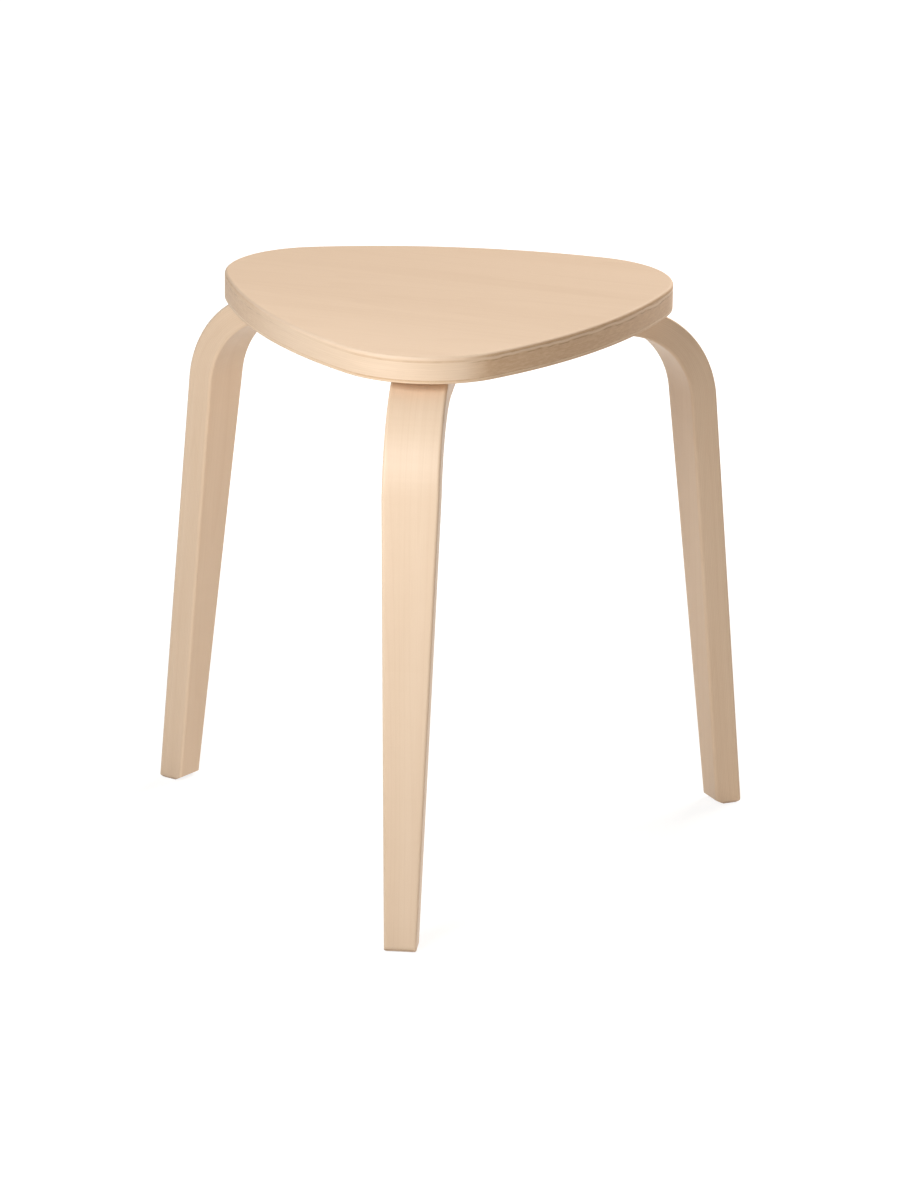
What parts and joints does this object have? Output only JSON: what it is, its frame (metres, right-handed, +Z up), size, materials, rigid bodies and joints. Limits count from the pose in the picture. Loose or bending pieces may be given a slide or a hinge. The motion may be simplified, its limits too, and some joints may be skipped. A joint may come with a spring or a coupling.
{
  "type": "stacking stool",
  "caption": "Low stacking stool with a rounded triangular laminated seat on bent, tapered wooden legs bolted under its corners.",
  "frame": {"origin": "on the floor, at the middle of the rectangle that the stool covers seen from above", "axes": "+Z up, square to the seat; the front leg points along -Y, the other legs towards +X and -X at the back; X runs across the seat's straight-looking back side"},
  "size_m": [0.4762, 0.4182, 0.45],
  "materials": {
    "birch_face": "pale birch veneer under clear satin lacquer",
    "birch_edge": "laminated birch seen on its edge, clear satin lacquer",
    "birch_leg": "bent laminated birch, sanded, clear satin lacquer",
    "zinc_steel": "zinc-plated steel",
    "insert_steel": "yellow-plated steel"
  },
  "bodies": {
    "root": {"seat_face_ply": "birch_face", "seat_core": "birch_edge", "seat_back_ply": "birch_face", "leg_front": "birch_leg", "leg_right": "birch_leg", "leg_left": "birch_leg", "bolt_front_outer": "zinc_steel", "bolt_front_inner": "zinc_steel", "bolt_right_outer": "zinc_steel", "bolt_right_inner": "zinc_steel", "bolt_left_outer": "zinc_steel", "bolt_left_inner": "zinc_steel", "washer_front_outer": "zinc_steel", "washer_front_inner": "zinc_steel", "washer_right_outer": "zinc_steel", "washer_right_inner": "zinc_steel", "washer_left_outer": "zinc_steel", "washer_left_inner": "zinc_steel", "insert_front_outer": "insert_steel", "insert_front_inner": "insert_steel", "insert_right_outer": "insert_steel", "insert_right_inner": "insert_steel", "insert_left_outer": "insert_steel", "insert_left_inner": "insert_steel"}
  },
  "joints": []
}
